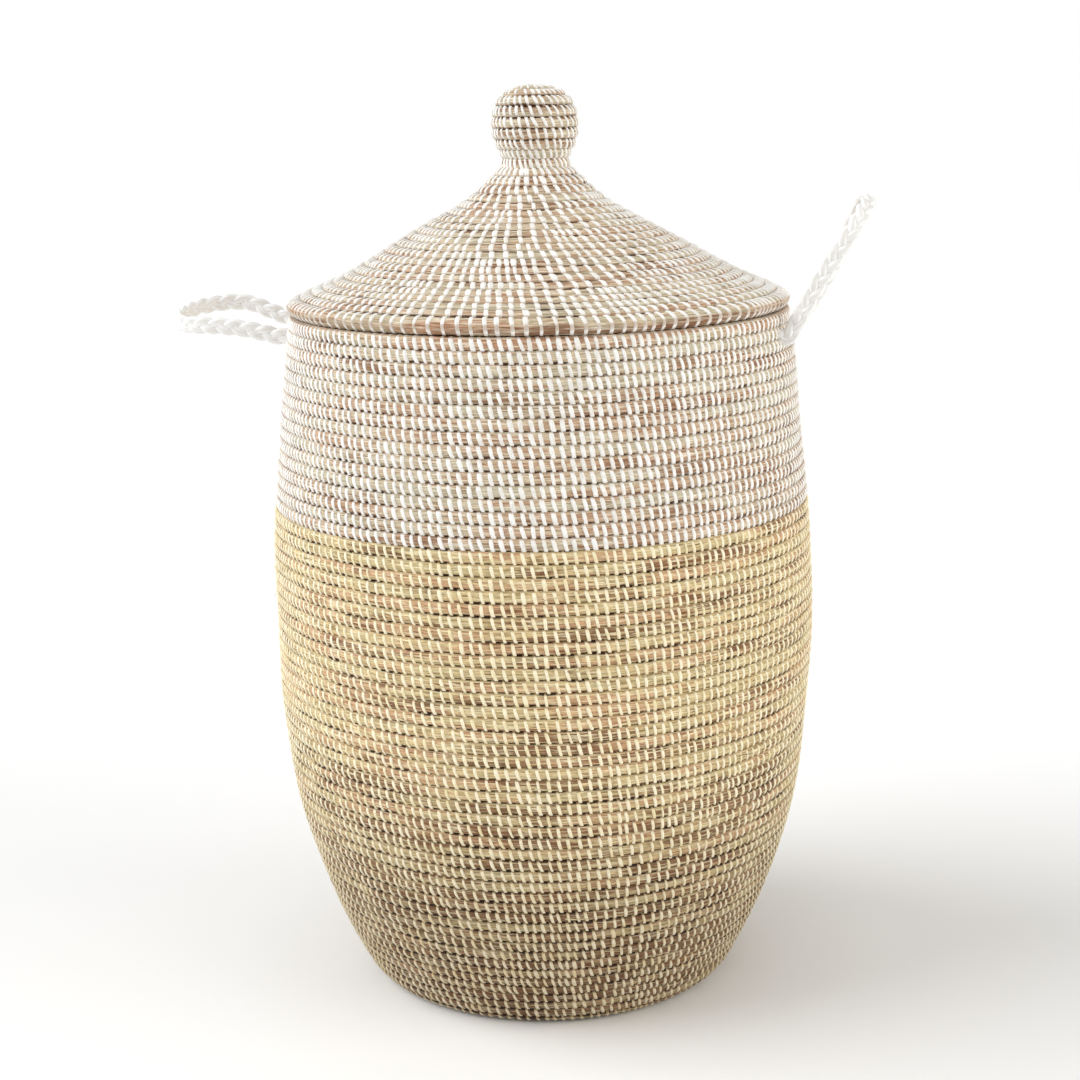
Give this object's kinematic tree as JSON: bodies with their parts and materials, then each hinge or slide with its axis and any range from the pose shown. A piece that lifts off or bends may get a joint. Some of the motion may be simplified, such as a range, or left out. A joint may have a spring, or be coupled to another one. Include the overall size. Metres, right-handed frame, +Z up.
{
  "type": "laundry basket",
  "caption": "Round coiled-grass laundry basket sewn with plastic strip, with a lift-off conical lid and two braided loop handles that swing at the rim.",
  "frame": {"origin": "centre of the base on the floor", "axes": "+Z up; the two handles lie on the X axis, the left one towards -X; the front is towards -Y"},
  "size_m": [0.5476, 0.4212, 0.6924],
  "materials": {
    "cream_sewn_coil": "grass bundle sewn with cream plastic strip",
    "white_sewn_coil": "grass bundle sewn with white plastic strip",
    "white_braid": "braided white plastic strip",
    "grass_stuffing": "loose dry grass"
  },
  "bodies": {
    "basket": {"base_start": "cream_sewn_coil", "base_coil": "cream_sewn_coil", "foot_coil": "cream_sewn_coil", "lower_wall_coil": "cream_sewn_coil", "middle_wall_coil": "cream_sewn_coil", "belly_coil": "cream_sewn_coil", "upper_wall_coil": "white_sewn_coil", "rim_coil": "white_sewn_coil", "left_front_knot": "white_braid", "left_back_knot": "white_braid", "right_front_knot": "white_braid", "right_back_knot": "white_braid"},
    "lid": {"lid_rim_coil": "white_sewn_coil", "lid_locating_ring": "white_sewn_coil", "lid_outer_coil": "white_sewn_coil", "lid_inner_coil": "white_sewn_coil", "knob_coil": "white_sewn_coil", "knob_core": "grass_stuffing"},
    "left_handle": {"left_handle_braid": "white_braid"},
    "right_handle": {"right_handle_braid": "white_braid"}
  },
  "joints": [
    {"name": "lid_lift", "type": "slide", "parent": "basket", "child": "lid", "axis": [0, 0, 1], "range_m": [0, 0.3]},
    {"name": "left_handle_swing", "type": "hinge", "parent": "basket", "child": "left_handle", "pos_m": [-0.19452, 0, 0.5078], "axis": [0, 1, 0], "range_deg": [-84, 79]},
    {"name": "right_handle_swing", "type": "hinge", "parent": "basket", "child": "right_handle", "pos_m": [0.19452, 0, 0.5078], "axis": [0, -1, 0], "range_deg": [-139, 24]}
  ]
}
